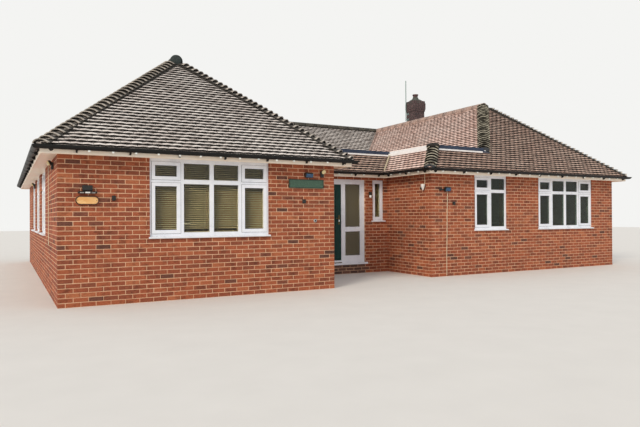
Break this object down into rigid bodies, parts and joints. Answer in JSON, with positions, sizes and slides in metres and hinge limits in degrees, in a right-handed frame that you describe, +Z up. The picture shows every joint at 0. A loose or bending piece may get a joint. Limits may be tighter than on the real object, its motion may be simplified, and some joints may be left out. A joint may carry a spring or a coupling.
{
  "type": "single-storey brick house with hipped tiled roofs",
  "caption": "Brick bungalow with hipped plain-tiled ranges in a U, a flat roof behind a tiled skirt, white windows, a recessed entrance and a chimney",
  "frame": {"origin": "middle of the brickwork's plan at ground level, under the floor", "axes": "+X along the front to the right, +Y to the back, +Z up"},
  "size_m": [15.234, 11.984, 6.3342],
  "materials": {
    "brick": "red facing brick with pale mortar",
    "plinth_brick": "dark brown brick",
    "chimney_brick": "dark weathered brick",
    "concrete": "plain concrete",
    "plaster": "matt white",
    "brown_tile": "weathered grey-brown plain tile",
    "red_tile": "weathered red-brown plain tile",
    "mossy_tile": "dark mossy tile",
    "lead": "blue-grey lead",
    "cream_board": "cream board",
    "black_plastic": "black rainwater goods",
    "white_plastic": "white window plastic",
    "glass": "clear double glazing",
    "blind": "dark slatted blind",
    "door_green": "dark green satin",
    "brass": "polished",
    "mortar": "rough mortar",
    "terracotta": "weathered terracotta",
    "galvanised": "dull galvanised",
    "plaque_wood": "varnished wood",
    "board_green": "painted green board",
    "black_lamp": "black plastic"
  },
  "bodies": {
    "house": {"floor_slab": "concrete", "left_wing_front_wall": "brick", "left_side_wall": "brick", "recess_side_wall": "brick", "entrance_wall_left": "brick", "entrance_wall_right": "brick", "entrance_wall_head": "brick", "entrance_plinth": "plinth_brick", "return_wall": "brick", "right_front_wall": "brick", "right_side_wall": "brick", "rear_wall": "brick", "ceiling": "plaster", "left_roof": "brown_tile", "rear_roof": "brown_tile", "right_roof": "red_tile", "skirt_roof": "red_tile", "flat_roof": "lead", "roof_edge_trim": "white_plastic", "ridge_tiles": "mossy_tile", "hip_tiles": "mossy_tile", "soffits": "cream_board", "fascias": "cream_board", "gutters": "black_plastic", "downpipes": "black_plastic", "front_window_frames": "white_plastic", "side_window_frames": "white_plastic", "rear_window_frames": "white_plastic", "window_glass": "glass", "window_sills": "white_plastic", "window_blinds": "blind", "door_frame": "white_plastic", "sidelight_glass": "glass", "door_sill": "white_plastic", "chimney_stack": "chimney_brick", "chimney_flaunching": "mortar", "chimney_pot": "terracotta", "aerial_mast": "galvanised", "oval_plaque": "plaque_wood", "long_board": "board_green", "wall_lamps": "black_lamp", "wall_boxes": "black_lamp"},
    "front_door": {"front_door": "door_green", "door_glass": "glass", "door_handles": "brass"}
  },
  "joints": [
    {"name": "front_door_hinge", "type": "hinge", "parent": "house", "child": "front_door", "pos_m": [-1.636, -3.149, 1.27], "axis": [0, 0, 1], "range_deg": [0, 90]}
  ]
}
